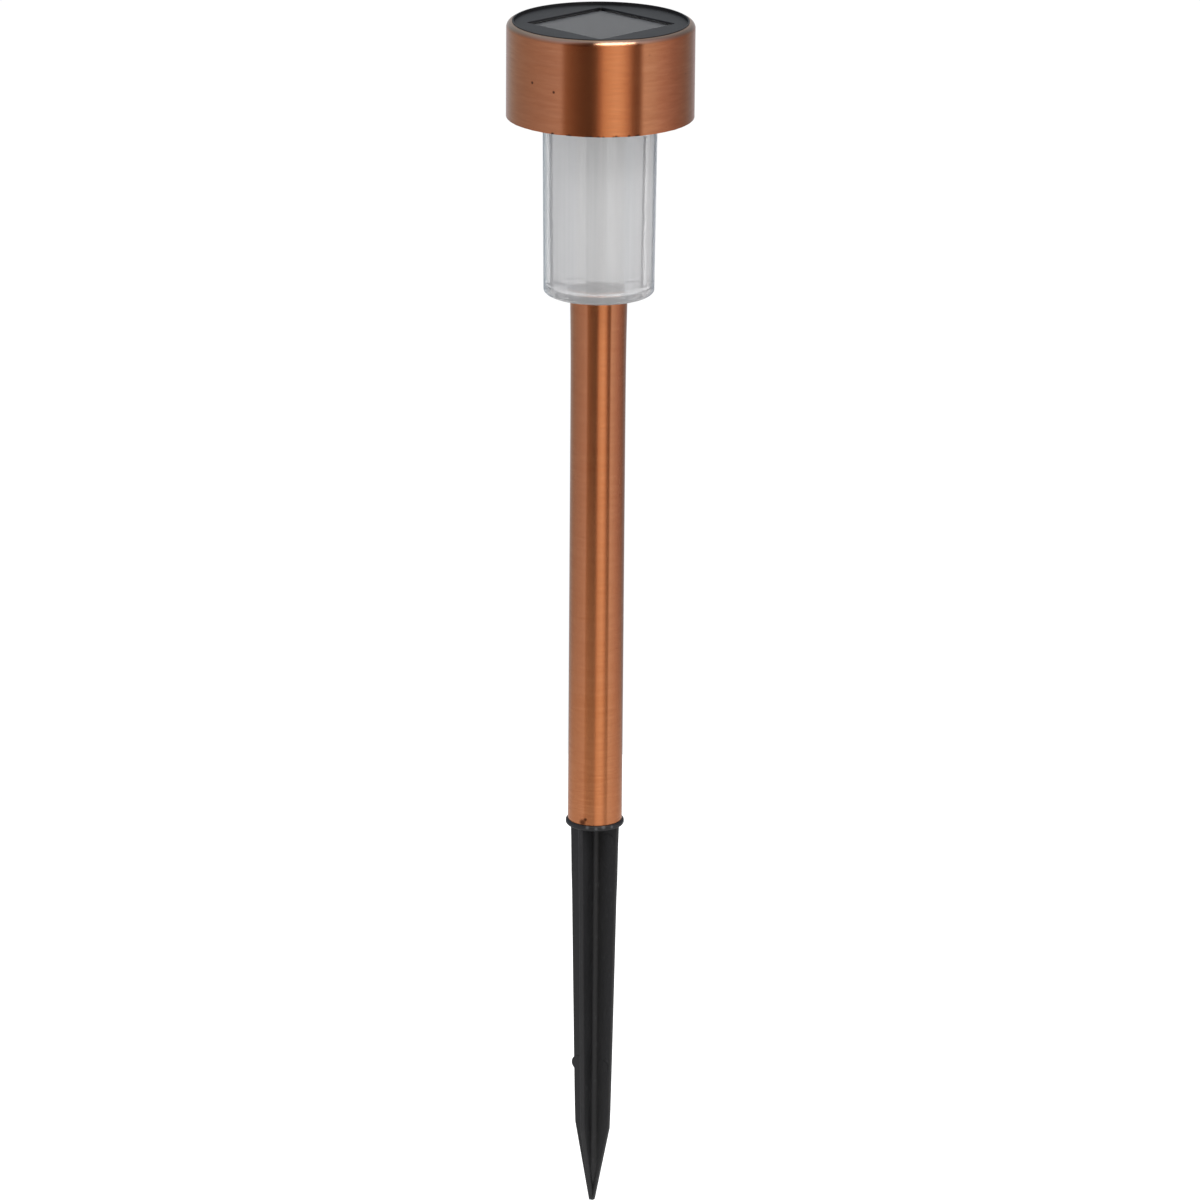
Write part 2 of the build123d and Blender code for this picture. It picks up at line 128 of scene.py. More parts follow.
def turn(degrees):
    """Place on the bearing ramp of a direction this many degrees right of the camera: a half plus the angle
    over a full turn."""
    return 0.5 + degrees / 360.0


def tilt(degrees):
    """Place on the height ramp of a direction this many degrees above level: a half plus the angle over a
    half turn."""
    return 0.5 + degrees / 180.0


# What the copper mirrors: a dark gap just left of the camera and one 45 degrees right of it, a warm light
# between them, and cool panels to both sides.
around = ramp_node(sky, bearing, [
    (turn(-180), (0.55, 0.57, 0.60)), (turn(-148), (0.35, 0.46, 0.55)), (turn(-120), (0.335, 0.37, 0.45)),
    (turn(-97), (0.37, 0.385, 0.48)), (turn(-74), (0.42, 0.43, 0.55)), (turn(-52), (0.50, 0.52, 0.67)),
    (turn(-49), (0.50, 0.51, 0.65)), (turn(-44.5), (0.29, 0.22, 0.20)), (turn(-36), (0.185, 0.13, 0.11)),
    (turn(-24), (0.100, 0.062, 0.050)), (turn(-12), (0.062, 0.038, 0.030)), (turn(-5), (0.112, 0.066, 0.052)),
    (turn(0), (0.34, 0.23, 0.19)), (turn(5), (0.61, 0.51, 0.44)), (turn(13), (0.72, 0.66, 0.61)),
    (turn(20), (0.79, 0.755, 0.74)), (turn(27), (0.73, 0.66, 0.61)), (turn(34), (0.50, 0.39, 0.36)),
    (turn(41), (0.18, 0.115, 0.10)), (turn(48.5), (0.12, 0.075, 0.065)), (turn(52), (0.36, 0.31, 0.33)),
    (turn(54.5), (0.66, 0.71, 0.87)), (turn(66), (0.60, 0.64, 0.78)), (turn(82), (0.49, 0.46, 0.57)),
    (turn(103), (0.34, 0.30, 0.37)), (turn(125), (0.25, 0.24, 0.28)), (turn(147), (0.25, 0.32, 0.40)),
    (turn(180), (0.55, 0.57, 0.60)),
])
above = ramp_node(sky, height, [
    (0.0, 0.75), (tilt(-60), 0.8), (tilt(-20), 1.0), (tilt(-5), 1.0), (tilt(10), 0.72), (tilt(26), 0.70),
    (tilt(45), 0.95), (1.0, 0.9),
])


def product(first, second):
    """Colour that is one colour times the other."""
    node = new_node(sky, "ShaderNodeMix", data_type="RGBA", blend_type="MULTIPLY")
    node.inputs[0].default_value = 1.0
    sky.links.new(first, node.inputs[6])
    sky.links.new(second, node.inputs[7])
    return node.outputs[2]


# Paper is seen directly and lights every rough surface. Panels are what shiny pieces mirror. Sweep is what
# shows through clear pieces.
PAPER_STRENGTH = 1.02
paper = new_node(sky, "ShaderNodeBackground", Strength=PAPER_STRENGTH)
paper.inputs["Color"].default_value = (1.0, 1.0, 1.0, 1.0)
panels = new_node(sky, "ShaderNodeBackground", Strength=1.0)
sky.links.new(product(around, above), panels.inputs["Color"])
sweep = new_node(sky, "ShaderNodeBackground", Strength=1.0)
backdrop = ramp_node(sky, bearing, [
    (turn(-180), 0.76), (turn(-165), 0.86), (turn(-140), 1.0), (turn(-90), 1.0), (turn(-50), 0.92),
    (turn(-30), 0.66), (turn(0), 0.70), (turn(35), 0.72), (turn(60), 0.92), (turn(90), 1.0),
    (turn(140), 1.0), (turn(168), 0.84), (turn(180), 0.76),
])
backdrop_top = ramp_node(sky, height, [(0.0, 1.0), (tilt(0), 1.0), (tilt(12), 0.45), (1.0, 0.45)])
sky.links.new(product(backdrop, backdrop_top), sweep.inputs["Color"])
seen = sky.nodes.new("ShaderNodeLightPath")


def chosen(amount, first, second):
    """Background that is first, or second where amount is one."""
    mix = sky.nodes.new("ShaderNodeMixShader")
    sky.links.new(amount, mix.inputs[0])
    sky.links.new(first.outputs[0], mix.inputs[1])
    sky.links.new(second.outputs[0], mix.inputs[2])
    return mix


through = chosen(seen.outputs["Is Transmission Ray"], panels, sweep)
scattered = chosen(seen.outputs["Is Diffuse Ray"], through, paper)
shown = chosen(seen.outputs["Is Camera Ray"], scattered, paper)
sky.links.new(shown.outputs[0], sky.nodes.new("ShaderNodeOutputWorld").inputs[0])


# The overhead panel faces the head, hidden from the camera and from rays through clear pieces.
PANEL_PLACE = Vector((0.26, -0.60, 1.12))
PANEL_AIM = Vector((0.0, 0.0, 0.2))
PANEL_WIDTH, PANEL_DEPTH = 0.82, 0.42
PANEL_POWER = 6.0
panel_data = bpy.data.lights.new("overhead_panel", "AREA")
panel_data.shape = "ELLIPSE"
panel_data.size, panel_data.size_y = PANEL_WIDTH, PANEL_DEPTH
panel_data.energy = PANEL_POWER
panel = bpy.data.objects.new("overhead_panel", panel_data)
panel.location = PANEL_PLACE
panel.rotation_euler = (PANEL_AIM - PANEL_PLACE).to_track_quat("-Z", "Y").to_euler()
panel.visible_camera = False
panel.visible_transmission = False
bpy.context.scene.collection.objects.link(panel)

# Floor: a round sheet of white card just under the stake's tip.
FLOOR_RADIUS = 0.42
FLOOR_HOLE = 0.0005
FLOOR_SIDES = 96
FLOOR_GAP = 0.0006
CARD_GREY = 0.6
CARD_GLOW = 0.7
stake_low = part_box("ground_stake")[0]


def grid_mesh(name, points, closed_along=False):
    """A mesh of four-sided faces on a grid of points, rows x columns x 3. Each row is joined round to its own
    start, and the last row to the first if closed_along."""
    rows, columns = points.shape[:2]
    index = np.arange(rows * columns).reshape(rows, columns)
    index = np.concatenate([index, index[:, :1]], axis=1)
    if closed_along:
        index = np.concatenate([index, index[:1]], axis=0)
    corners = np.stack([index[:-1, :-1], index[:-1, 1:], index[1:, 1:], index[1:, :-1]], axis=-1)
    corners = corners.reshape(-1, 4)
    mesh = bpy.data.meshes.new(name)
    mesh.vertices.add(rows * columns)
    mesh.vertices.foreach_set("co", points.reshape(-1).astype(np.float32))
    mesh.loops.add(corners.size)
    mesh.loops.foreach_set("vertex_index", corners.reshape(-1).astype(np.int32))
    mesh.polygons.add(len(corners))
    mesh.polygons.foreach_set("loop_start", np.arange(0, corners.size, 4, dtype=np.int32))
    mesh.polygons.foreach_set("loop_total", np.full(len(corners), 4, dtype=np.int32))
    mesh.update(calc_edges=True)
    mesh.polygons.foreach_set("use_smooth", np.ones(len(corners), dtype=bool))
    mesh.validate()
    piece = bpy.data.objects.new(name, mesh)
    bpy.context.scene.collection.objects.link(piece)
    return piece


def material(name, **settings):
    """A new material with its Principled BSDF; settings are constant socket values. Gives tree and shader."""
    finish = bpy.data.materials.new(name)
    finish.use_nodes = True
    shader = finish.node_tree.nodes["Principled BSDF"]
    for key, value in settings.items():
        shader.inputs[key.replace("_", " ")].default_value = value
    return finish, finish.node_tree, shader


angles = np.linspace(0, 2 * pi, FLOOR_SIDES, endpoint=False)
reach = np.array([FLOOR_HOLE, FLOOR_RADIUS])[:, None]
floor_points = np.stack([
    reach * np.cos(angles), reach * np.sin(angles), np.full((2, FLOOR_SIDES), stake_low.z - FLOOR_GAP),
], axis=-1)
floor = grid_mesh("floor", floor_points[::-1])
card, card_tree, card_shader = material(
    "white_card", Base_Color=(CARD_GREY, CARD_GREY, CARD_GREY, 1.0), Roughness=0.9
)
card_seen = card_tree.nodes.new("ShaderNodeLightPath").outputs["Is Camera Ray"]
glow = math_node(card_tree, "MULTIPLY", card_seen, CARD_GLOW)
card_shader.inputs["Emission Color"].default_value = (1.0, 1.0, 1.0, 1.0)
card_tree.links.new(glow, card_shader.inputs["Emission Strength"])
floor.data.materials.append(card)


# ---------------------------------------------------------------------------
# Ground stake: one moulding of black polypropylene, four fins that taper to a
# point, a flange at the ground line and a hollow plug for the pole. The CAD
# shape is kept. Its surface is satin, with flow marks, scuffs from soil and
# a painted highlight down its left fin.
# ---------------------------------------------------------------------------
def object_place(tree, scale=(1.0, 1.0, 1.0)):
    """Object coordinates of the piece, stretched by scale. Gives the vector output."""
    place = tree.nodes.new("ShaderNodeTexCoord").outputs["Object"]
    mapping = new_node(tree, "ShaderNodeMapping")
    mapping.inputs["Scale"].default_value = scale
    tree.links.new(place, mapping.inputs["Vector"])
    return mapping.outputs[0]


def noise(tree, vector, scale, detail=3.0, rough=0.5):
    """Noise from 0 to 1 on a vector. Gives the factor output."""
    node = new_node(tree, "ShaderNodeTexNoise", Scale=scale, Detail=detail, Roughness=rough)
    tree.links.new(vector, node.inputs["Vector"])
    return node.outputs["Fac"]


def spread(tree, value, low, high, from_low=0.3, from_high=0.7):
    """Maps value from one range to another, clamped."""
    node = tree.nodes.new("ShaderNodeMapRange")
    node.inputs["From Min"].default_value = from_low
    node.inputs["From Max"].default_value = from_high
    node.inputs["To Min"].default_value = low
    node.inputs["To Max"].default_value = high
    tree.links.new(value, node.inputs["Value"])
    return node.outputs["Result"]


def blended(tree, amount, first, second):
    """Colour that goes from first to second by amount; each may be a colour or a socket."""
    node = new_node(tree, "ShaderNodeMix", data_type="RGBA")
    tree.links.new(amount, node.inputs[0])
    for socket, value in ((node.inputs[6], first), (node.inputs[7], second)):
        if isinstance(value, tuple):
            socket.default_value = (*value, 1.0)
        else:
            tree.links.new(value, socket)
    return node.outputs[2]


def bumped(tree, shader, height, distance):
    """Drives the shader's normal by a bump of this height in metres."""
    node = new_node(tree, "ShaderNodeBump", Distance=distance)
    tree.links.new(height, node.inputs["Height"])
    tree.links.new(node.outputs[0], shader.inputs["Normal"])


def moulded_plastic(name, dark, light, rough_low, rough_high, grain=0.00003, **settings):
    """Moulded plastic: one slow noise moves the colour between dark and light and the gloss between two
    roughnesses, and a fast noise gives a grain of the stated height in metres."""
    finish, tree, shader = material(name, **settings)
    cloud = noise(tree, object_place(tree), scale=55.0, detail=4.0)
    fine = noise(tree, object_place(tree), scale=2600.0, detail=2.0)
    tree.links.new(blended(tree, spread(tree, cloud, 0.0, 1.0), dark, light), shader.inputs["Base Color"])
    tree.links.new(spread(tree, cloud, rough_low, rough_high), shader.inputs["Roughness"])
    bumped(tree, shader, fine, grain)
    return finish


def specks(tree, tone, colour, marks, strength=0.85, stretch=(1.0, 1.0, 1.0)):
    """Lays soft spots of a colour over tone. Marks are (x, y, z, size) in metres. A spot is full within four
    tenths of its size and gone at its size. stretch scales distances along each axis, so 0.1 draws it out."""
    for x, y, z, size in marks:
        apart = new_node(tree, "ShaderNodeVectorMath", operation="DISTANCE")
        tree.links.new(object_place(tree, stretch), apart.inputs[0])
        apart.inputs[1].default_value = (x * stretch[0], y * stretch[1], z * stretch[2])
        inside = spread(tree, apart.outputs["Value"], strength, 0.0, size * 0.4, size)
        tone = blended(tree, inside, tone, colour)
    return tone


def paint(node, finish):
    """Gives a CAD node this finish and no other."""
    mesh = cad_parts[node].data
    mesh.materials.clear()
    mesh.materials.append(finish)


stake_plastic, stake_tree, stake_shader = material("stake_plastic", Specular_IOR_Level=0.54)
flow = noise(stake_tree, object_place(stake_tree, (1.0, 1.0, 0.12)), scale=420.0, detail=4.0)
scuff = noise(stake_tree, object_place(stake_tree, (1.0, 1.0, 0.5)), scale=900.0, detail=6.0, rough=0.7)
scuffed = spread(stake_tree, scuff, 0.0, 1.0, 0.58, 0.75)
plastic_colour = blended(
    stake_tree, spread(stake_tree, flow, 0.0, 1.0), (0.0085, 0.0087, 0.0093), (0.0140, 0.0143, 0.0150)
)
plastic_colour = blended(stake_tree, scuffed, plastic_colour, (0.030, 0.0305, 0.032))

# Three long light streaks on the left fin are a painted highlight for the bright lit strip down that fin.
# Then pale nicks on the front fin and crumbs of flash on the flange.
plastic_colour = specks(stake_tree, plastic_colour, (0.075, 0.077, 0.082), [
    (-0.0052, -0.001, -0.0078, 0.0006), (-0.0041, -0.001, -0.0490, 0.0006),
    (-0.0047, -0.001, -0.0150, 0.0004),
], 0.6, (1.0, 1.0, 0.09))
plastic_colour = specks(stake_tree, plastic_colour, (0.10, 0.10, 0.105), [
    (-0.0003, -0.0078, -0.0270, 0.0004), (0.0001, -0.0075, -0.0345, 0.0003),
    (0.0012, -0.0010, -0.0064, 0.0004), (-0.0022, -0.0083, 0.0012, 0.0007), (0.0004, -0.0086, 0.0009, 0.0006),
    (0.0026, -0.0082, 0.0013, 0.0008), (0.0050, -0.0069, 0.0010, 0.0006),
], 0.7)
pit_tone = specks(stake_tree, plastic_colour, (0.002, 0.002, 0.002), [(-0.0050, -0.001, -0.0705, 0.0006)])
stake_tree.links.new(pit_tone, stake_shader.inputs["Base Color"])
stake_tree.links.new(spread(stake_tree, flow, 0.42, 0.56), stake_shader.inputs["Roughness"])
bumped(stake_tree, stake_shader, scuff, 0.00008)
paint("ground_stake", stake_plastic)


# ---------------------------------------------------------------------------
# Pole: welded steel tube with a copper-coloured plating, brushed round and
# round, its top end belled out a little so that the lens's spigot enters.
# ---------------------------------------------------------------------------
def arc(centre_r, centre_z, radius, start, end, steps):
    """Points of an arc in the radius-height plane: the centre plus the radius times the cosine and the sine
    of an angle that goes from start to end, in degrees from the outward direction."""
    a = np.radians(np.linspace(start, end, steps))
    return np.stack([centre_r + radius * np.cos(a), centre_z + radius * np.sin(a)], axis=-1)


def run(start, end, steps):
    """Evenly spaced points of a straight run, its end left out."""
    t = np.linspace(0.0, 1.0, steps, endpoint=False)[:, None]
    return np.array(start) * (1 - t) + np.array(end) * t


def outward(piece):
    """Turns all faces over if the closed mesh encloses a negative volume. That is the sum over its faces of
    the triple products of their corners."""
    mesh = piece.data
    places = np.empty(len(mesh.vertices) * 3)
    mesh.vertices.foreach_get("co", places)
    places = places.reshape(-1, 3)
    corners = np.empty(len(mesh.loops), dtype=np.int32)
    mesh.loops.foreach_get("vertex_index", corners)
    a, b, c, d = (places[corners.reshape(-1, 4)[:, k]] for k in range(4))
    volume = np.einsum("ij,ij->", a, np.cross(b, c)) + np.einsum("ij,ij->", a, np.cross(c, d))
    if volume < 0:
        mesh.flip_normals()
    return piece


def turned_piece(name, profile, columns, shape=None, bare_from=None):
    """A closed profile, N x 2 of radius and height, carried round the Z axis: x and y are the radius times
    the cosine and the sine of the angle. shape may change radius and height by angle. Rows from bare_from on
    carry 1 in the attribute "bare", the others 0."""
    around_angles = np.linspace(0, 2 * pi, columns, endpoint=False)
    r, a = np.meshgrid(profile[:, 0], around_angles, indexing="ij")
    z = np.repeat(profile[:, 1][:, None], columns, axis=1)
    if shape:
        r, z = shape(r, z, a)
    points = np.stack([r * np.cos(a), r * np.sin(a), z], axis=-1)
    piece = outward(grid_mesh(name, points, closed_along=True))
    if bare_from is not None:
        inner = np.repeat(np.arange(len(profile)) >= bare_from, columns)
        bare = piece.data.attributes.new("bare", "FLOAT", "POINT")
        bare.data.foreach_set("value", inner.astype(np.float32))
    return piece


BRUSH_SQUEEZE = (1.0, 1.0, 12.0)
WORN_FADE = 0.0009


def brushed_copper(name, streak_scale, worn_above, blemishes):
    """Copper-coloured plating brushed round the axis: streaks are noise squeezed along Z, so they run round
    the piece. They move the colour, the roughness and a shallow bump. The plating pales above the height
    worn_above. Where the attribute "bare" is 1 the sheet is grey steel. Blemishes are small dark pits."""
    finish, tree, shader = material(name, Metallic=1.0, Anisotropic=1.0, Anisotropic_Rotation=0.25)
    tangent = new_node(tree, "ShaderNodeTangent", direction_type="RADIAL", axis="Z")
    tree.links.new(tangent.outputs[0], shader.inputs["Tangent"])
    broad = noise(tree, object_place(tree, BRUSH_SQUEEZE), scale=streak_scale, detail=3.0)
    fine = noise(tree, object_place(tree, BRUSH_SQUEEZE), scale=streak_scale * 2.6, detail=4.0, rough=0.6)
    clouds = noise(tree, object_place(tree), scale=38.0, detail=3.0)
    tone = blended(tree, spread(tree, broad, 0.0, 1.0), (0.79, 0.298, 0.118), (0.84, 0.335, 0.140))
    tone = blended(tree, spread(tree, fine, 0.0, 0.5), tone, (0.63, 0.205, 0.076))
    tone = blended(tree, spread(tree, clouds, 0.0, 0.2), tone, (0.74, 0.31, 0.16))
    rough = math_node(tree, "ADD", spread(tree, fine, 0.20, 0.26), spread(tree, clouds, -0.015, 0.015))
    tone = specks(tree, tone, (0.07, 0.018, 0.008), blemishes)
    parts = new_node(tree, "ShaderNodeSeparateXYZ")
    tree.links.new(object_place(tree), parts.inputs[0])
    worn = spread(tree, parts.outputs["Z"], 0.0, 1.0, worn_above, worn_above + WORN_FADE)
    tone = blended(tree, worn, tone, (0.70, 0.45, 0.31))
    inner_side = new_node(tree, "ShaderNodeAttribute", attribute_name="bare").outputs["Fac"]
    tone = blended(tree, inner_side, tone, (0.60, 0.60, 0.60))
    tree.links.new(tone, shader.inputs["Base Color"])
    tree.links.new(rough, shader.inputs["Roughness"])
    bumped(tree, shader, fine, 0.000003)
    return finish


pole_low, pole_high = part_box("pole_tube")
WALL = 0.0005
POLE_RADIUS = 0.008
BELL = pole_high.x - POLE_RADIUS
BELL_LENGTH = 0.013
EDGE = 0.00012
POLE_COLUMNS = 144


def belled(r, z, a):
    """Adds the bell to the tube's radius: the bell times e to the minus (depth below the top end, over the
    bell's length, to the power 1.4)."""
    drop = (pole_high.z - z) / BELL_LENGTH
    return r + BELL * np.exp(-drop ** 1.4), z


pole_outside = np.concatenate([
    arc(POLE_RADIUS - EDGE, pole_low.z + EDGE, EDGE, -90, 0, 4),
    run((POLE_RADIUS, pole_low.z + 2 * EDGE), (POLE_RADIUS, pole_high.z - 2 * EDGE), 90),
    arc(POLE_RADIUS - EDGE, pole_high.z - EDGE, EDGE, 0, 90, 4),
])
pole_inside = np.concatenate([
    arc(POLE_RADIUS - WALL + EDGE, pole_high.z - EDGE, EDGE, 90, 180, 4),
    run((POLE_RADIUS - WALL, pole_high.z - 2 * EDGE), (POLE_RADIUS - WALL, pole_low.z + 2 * EDGE), 60),
    arc(POLE_RADIUS - WALL + EDGE, pole_low.z + EDGE, EDGE, 180, 270, 4),
])
pole_profile = np.concatenate([pole_outside, pole_inside])
pole = turned_piece("pole", pole_profile, POLE_COLUMNS, belled, len(pole_outside))

# The plated tube has no worn rim, and a burr and its smear at the lower end, left of the front.
pole.data.materials.append(brushed_copper("pole_copper", 70.0, pole_high.z + WALL, [
    (-0.0036, -0.0071, 0.0024, 0.0013), (-0.0028, -0.0075, 0.0034, 0.0007),
]))
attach(pole, "pole")
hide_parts("pole_tube")


# ---------------------------------------------------------------------------
# Lens: a cup moulded in clear, slightly hazy plastic, with flat flutes down its
# inside, a neck that takes the seal, and a hollow spigot that enters the pole.
# ---------------------------------------------------------------------------
FLUTES = 16
FLUTE_TURN = radians(7.5)
FOOT_RADIUS = 0.016
MOUTH_RADIUS = 0.0165
FOOT_ROUND = np.array([0.003, 0.0015])
FOOT_WALL = 0.0020
MOUTH_WALL = 0.0010
NECK_RADIUS = 0.0158
NECK_GAP = 0.0008
LENS_FLOOR = 0.002
LENS_EDGE = 0.0002
INSIDE_ROUND = 0.0028
INSIDE_ROUND_ROWS = 14
BORE_RADIUS = 0.0057
BORE_EDGE = 0.0003
SPIGOT_ROWS = 14
SPIGOT_TAPER = 0.0008
SPIGOT_GAP = 0.00008
UNPOLISHED = 2.0
lens_low, lens_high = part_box("lens")
cap_low, cap_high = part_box("cap_shell")
foot = pole_high.z
shoulder = cap_low.z + NECK_GAP
inside_foot = FOOT_RADIUS - FOOT_WALL
inside_mouth = NECK_RADIUS - MOUTH_WALL
floor_level = foot + LENS_FLOOR
spigot_radius = pole_high.x - WALL - SPIGOT_GAP

# The lens's section, up its outside and down its inside. Short gaps between the stretches leave one row of
# faces to round each edge.
outside = np.concatenate([
    run((spigot_radius - 0.0007, lens_low.z), (spigot_radius - 0.00015, lens_low.z + SPIGOT_TAPER), 3),
    run((spigot_radius - 0.00015, lens_low.z + SPIGOT_TAPER), (spigot_radius, foot - 0.0003), 8),
    run((spigot_radius, foot), (FOOT_RADIUS - FOOT_ROUND[0], foot), 6),
    (FOOT_RADIUS - FOOT_ROUND[0], foot + FOOT_ROUND[1]) + FOOT_ROUND * arc(0, 0, 1, -90, 0, 14),
    run((FOOT_RADIUS + 0.00002, foot + 0.0025), (MOUTH_RADIUS, shoulder - LENS_EDGE), 24),
    arc(MOUTH_RADIUS - LENS_EDGE, shoulder - LENS_EDGE, LENS_EDGE, 0, 90, 4),
    run((NECK_RADIUS + 0.0001, shoulder), (NECK_RADIUS, shoulder + 0.0001), 2),
    run((NECK_RADIUS, shoulder + 0.0003), (NECK_RADIUS, lens_high.z - LENS_EDGE), 4),
    arc(NECK_RADIUS - LENS_EDGE, lens_high.z - LENS_EDGE, LENS_EDGE, 0, 90, 4),
])
fluted = np.concatenate([
    run((inside_mouth + 0.0001, lens_high.z), (inside_mouth, lens_high.z - 0.0001), 2),
    run((inside_mouth, lens_high.z - 0.0004), (inside_foot, floor_level + 0.0030), 40),
])
bottom = np.concatenate([
    arc(inside_foot - INSIDE_ROUND, floor_level + INSIDE_ROUND, INSIDE_ROUND, 0, -90, INSIDE_ROUND_ROWS),
    run((inside_foot - 0.0032, floor_level), (BORE_RADIUS + BORE_EDGE, floor_level), 6),
    arc(BORE_RADIUS + BORE_EDGE, floor_level - BORE_EDGE, BORE_EDGE, 90, 180, 4),
    run((BORE_RADIUS, floor_level - 0.0006), (BORE_RADIUS, lens_low.z + LENS_EDGE), 10),
    arc(BORE_RADIUS + LENS_EDGE, lens_low.z + LENS_EDGE, LENS_EDGE, 180, 270, 3),
])
lens_profile = np.concatenate([outside, fluted, bottom])
flute_share = np.concatenate([
    np.zeros(len(outside)), np.ones(len(fluted)), np.linspace(1.0, 0.0, INSIDE_ROUND_ROWS),
    np.zeros(len(bottom) - INSIDE_ROUND_ROWS),
])

# A flute is flat where its radius is its middle radius divided by the cosine of the angle from that middle.
# Columns crowd towards each ridge between two flutes, and none stands on it, which leaves it a fine chamfer.
across = np.array([-0.985, -0.955, *np.linspace(-0.88, 0.88, 11), 0.955, 0.985]) * pi / FLUTES
flute_middles = np.arange(FLUTES)[:, None] * 2 * pi / FLUTES + pi / FLUTES
lens_angles = (flute_middles + across).reshape(-1) + FLUTE_TURN - pi / 2
flat = np.tile(cos(pi / FLUTES) / np.cos(across), FLUTES)
lens_r = lens_profile[:, :1] * (1 + flute_share[:, None] * (flat - 1))
lens_points = np.stack([
    lens_r * np.cos(lens_angles), lens_r * np.sin(lens_angles),
    np.repeat(lens_profile[:, 1:], len(lens_angles), axis=1),
], axis=-1)
lens = outward(grid_mesh("lens_cup_clear", lens_points, closed_along=True))

# The attribute made here says how much each row and column is greyed. On the flutes the grey is painted
# shade: it differs from flute to flute, for the streaks that the flutes throw, and is heavier on the flutes
# that face the front or the back, for the darker strip down the lens's middle. The spigot's bore is greyed
# as unpolished.
middles = (np.arange(FLUTES) + 0.5) * 2 * pi / FLUTES + FLUTE_TURN
cut = 0.75 * np.random.default_rng(11).permutation(FLUTES) / (FLUTES - 1) + 0.25 * np.cos(middles) ** 6
flute_shade_and_bore_grey_values = flute_share[:, None] * np.repeat(cut, len(across))
flute_shade_and_bore_grey_values[-SPIGOT_ROWS:] = UNPOLISHED
flute_shade_and_bore_grey = lens.data.attributes.new("flute_shade_and_bore_grey", "FLOAT", "POINT")
flute_shade_and_bore_grey.data.foreach_set("value", flute_shade_and_bore_grey_values.reshape(-1).astype(np.float32))
clear_plastic, clear_tree, clear_shader = material("clear_plastic", Transmission_Weight=0.72, IOR=1.5)
haze = noise(clear_tree, object_place(clear_tree, (1.0, 1.0, 0.2)), scale=260.0, detail=3.0)
drawn = noise(clear_tree, object_place(clear_tree, (1.0, 1.0, 0.01)), scale=820.0, detail=4.0, rough=0.6)
tint = blended(clear_tree, spread(clear_tree, drawn, 0.0, 1.0), (0.93, 0.937, 0.938), (1.0, 1.0, 1.0))
flute_shade_and_bore_tone = new_node(clear_tree, "ShaderNodeAttribute", attribute_name="flute_shade_and_bore_grey").outputs["Fac"]
flute_shade_and_bore_share = spread(clear_tree, flute_shade_and_bore_tone, 0.0, 1.0, 0.0, UNPOLISHED)
# Painted shade on the flutes, and the bore's unpolished grey, mixed into the clear plastic's colour.
tint = blended(clear_tree, flute_shade_and_bore_share, tint, (0.48, 0.48, 0.475))
clear_tree.links.new(tint, clear_shader.inputs["Base Color"])
clear_tree.links.new(spread(clear_tree, haze, 0.02, 0.06), clear_shader.inputs["Roughness"])
bumped(clear_tree, clear_shader, haze, 0.00002)
lens.data.materials.append(clear_plastic)
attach(lens, "lens_cup")
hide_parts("lens")


# ---------------------------------------------------------------------------
# Seal: a band of black rubber on the lens neck, with two soft ribs round it
# that grip the head's collar.
# ---------------------------------------------------------------------------
seal_low, seal_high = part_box("lens_seal")
SEAL_BORE = NECK_RADIUS + 0.00005
SEAL_COLUMNS = 120
GROOVE = 0.00025
seal_height = seal_high.z - seal_low.z


def ribbed(r, z, a):
    """Leaves two ribs round the band's outside: its radius loses the groove's depth times half of one plus a
    cosine of two waves over the band's height."""
    share = (z - seal_low.z) / seal_height
    groove = GROOVE * (0.5 + 0.5 * np.cos(4 * pi * share))
    return np.where(r > SEAL_BORE + 0.0003, r - groove, r), z


seal_profile = np.concatenate([
    run((SEAL_BORE + 0.0001, seal_low.z), (seal_high.x - 0.0002, seal_low.z), 3),
    run((seal_high.x, seal_low.z + 0.0001), (seal_high.x, seal_high.z - 0.0001), 24),
    run((seal_high.x - 0.0002, seal_high.z), (SEAL_BORE + 0.0001, seal_high.z), 3),
    run((SEAL_BORE, seal_high.z - 0.0001), (SEAL_BORE, seal_low.z + 0.0001), 6),
])
seal = turned_piece("rubber_band", seal_profile, SEAL_COLUMNS, ribbed)
seal.data.materials.append(moulded_plastic(
    "seal_rubber", (0.010, 0.010, 0.010), (0.022, 0.022, 0.023), 0.62, 0.78, Specular_IOR_Level=0.3
))
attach(seal, "seal")
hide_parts("lens_seal")


# ---------------------------------------------------------------------------
# Cap: a drum drawn from thin steel sheet, plated copper colour and brushed
# round its wall, with a rounded top edge that ends at the black plate. Its
# plating is worn pale at the top, and its lower edge is as the shear left it.
# ---------------------------------------------------------------------------
CAP_RADIUS = cap_high.x
CAP_COLUMNS = 288
SHOULDER = 0.00175
RIPPLE = 0.00006
RIPPLE_FADE = 0.0005
WORN_DEPTH = 0.0014
turn_r = CAP_RADIUS - SHOULDER
turn_z = cap_high.z - SHOULDER


def trimmed(r, z, a):
    """Leaves the drum's lower edge as a shear cut it: a shallow ripple, the sum of three waves round the
    edge, that fades out above it as e to the minus (height over the fade's length)."""
    ripple = 0.4 * np.sin(3 * a + 1.0) + 0.3 * np.sin(17 * a) * np.sin(5 * a + 2.0)
    ripple = ripple + 0.3 * np.sin(41 * a + 0.6)
    fade = np.exp(-np.maximum(z - cap_low.z, 0.0) / RIPPLE_FADE)
    return r, z + RIPPLE * (1 + ripple) * fade


